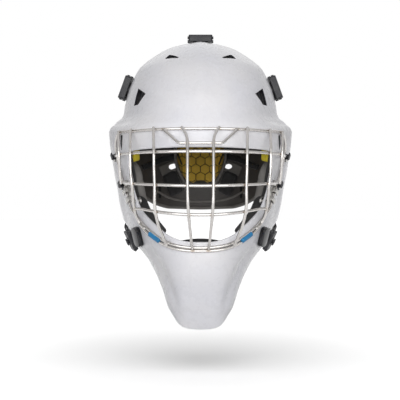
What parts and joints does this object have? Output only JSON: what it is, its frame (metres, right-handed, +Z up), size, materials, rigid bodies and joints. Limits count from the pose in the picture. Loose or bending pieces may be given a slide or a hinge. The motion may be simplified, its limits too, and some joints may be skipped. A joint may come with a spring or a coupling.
{
  "type": "ice hockey goalkeeper mask",
  "caption": "Ice hockey goalkeeper mask: moulded white shell with a bulged steel wire cage, padded inside, with a strapped backplate that swings back and a chin cup.",
  "frame": {"origin": "middle of the wearer's head at ear height, on the mask's middle plane", "axes": "+Z up, the mask faces -Y, +X is the wearer's left"},
  "size_m": [0.2268, 0.2805, 0.3731],
  "materials": {
    "shell_gelcoat": "gloss gel coat over a fibre laminate",
    "cage_wire": "polished stainless wire",
    "small_steel": "plated steel",
    "black_plastic": "fine moulded grain",
    "cap_plastic": "gloss",
    "band_plastic": "satin sleeve",
    "dark_foam": "smooth closed-cell foam",
    "grey_foam": "smooth closed-cell foam",
    "yellow_foam": "hexagon-embossed foam",
    "plate_plastic": "satin moulded plate",
    "grey_rubber": "soft edge bead",
    "webbing": "woven elastic webbing"
  },
  "bodies": {
    "mask": {"shell": "shell_gelcoat", "cage_frame": "cage_wire", "cage_lower_rail": "cage_wire", "cage_crossbars": "cage_wire", "cage_brow_wire": "cage_wire", "cage_uprights": "cage_wire", "cage_hook_clips": "black_plastic", "cage_side_clips": "small_steel", "cage_clip_screws": "small_steel", "cage_clip_nuts": "small_steel", "cage_bands": "band_plastic", "vent_inserts": "black_plastic", "forehead_pad": "dark_foam", "crown_pad": "grey_foam", "temple_pad_left": "grey_foam", "temple_pad_right": "grey_foam", "jaw_pad_left": "grey_foam", "jaw_pad_right": "grey_foam", "jaw_liner_left": "dark_foam", "jaw_liner_right": "dark_foam", "temple_tabs": "yellow_foam", "jaw_caps": "cap_plastic", "clip_bases": "small_steel", "harness_nuts": "small_steel", "top_clip": "black_plastic", "chin_snaps": "small_steel"},
    "backplate_assembly": {"backplate": "plate_plastic", "backplate_trim": "grey_rubber", "nape_pad": "yellow_foam", "nape_pad_frame": "grey_rubber", "backplate_pads": "dark_foam", "strap_rivets": "small_steel", "top_strap": "webbing", "side_strap_left": "webbing", "side_strap_right": "webbing", "jaw_strap_left": "webbing", "jaw_strap_right": "webbing"},
    "side_clip_left": {"side_clip_left": "black_plastic"},
    "side_clip_right": {"side_clip_right": "black_plastic"},
    "jaw_clip_left": {"jaw_clip_left": "black_plastic"},
    "jaw_clip_right": {"jaw_clip_right": "black_plastic"},
    "chin_cup_assembly": {"chin_cup": "black_plastic", "chin_cup_pad": "dark_foam", "chin_straps": "webbing"}
  },
  "joints": [
    {"name": "backplate_swing", "type": "hinge", "parent": "mask", "child": "backplate_assembly", "pos_m": [0, 0.075, 0.15], "axis": [1, 0, 0], "range_deg": [0, 15], "stiffness_Nm_per_rad": 2, "springref_deg": -11.46, "deforming": ["top_strap", "side_strap_left", "side_strap_right", "jaw_strap_left", "jaw_strap_right"]},
    {"name": "side_clip_left_turn", "type": "hinge", "parent": "mask", "child": "side_clip_left", "pos_m": [0.091, 0.03, 0.113], "axis": [0.9353, 0.0847, 0.3436], "range_deg": [0, 8]},
    {"name": "side_clip_right_turn", "type": "hinge", "parent": "mask", "child": "side_clip_right", "pos_m": [-0.091, 0.03, 0.113], "axis": [0.9353, -0.0847, -0.3436], "range_deg": [0, 8]},
    {"name": "jaw_clip_left_turn", "type": "hinge", "parent": "mask", "child": "jaw_clip_left", "pos_m": [0.08282, -0.045, -0.0795], "axis": [0.8856, -0.1679, -0.4329], "range_deg": [-5, 0]},
    {"name": "jaw_clip_right_turn", "type": "hinge", "parent": "mask", "child": "jaw_clip_right", "pos_m": [-0.08282, -0.045, -0.0795], "axis": [0.8856, 0.1679, 0.4329], "range_deg": [-5, 0]},
    {"name": "chin_cup_swing", "type": "hinge", "parent": "mask", "child": "chin_cup_assembly", "pos_m": [0, -0.07, -0.072], "axis": [1, 0, 0], "range_deg": [-12, 12]}
  ],
  "couplings": [
    {"joint": "side_clip_left_turn", "follows": "backplate_swing", "ratio": 0.45},
    {"joint": "side_clip_right_turn", "follows": "backplate_swing", "ratio": 0.45},
    {"joint": "jaw_clip_left_turn", "follows": "backplate_swing", "ratio": -0.22},
    {"joint": "jaw_clip_right_turn", "follows": "backplate_swing", "ratio": -0.22}
  ]
}
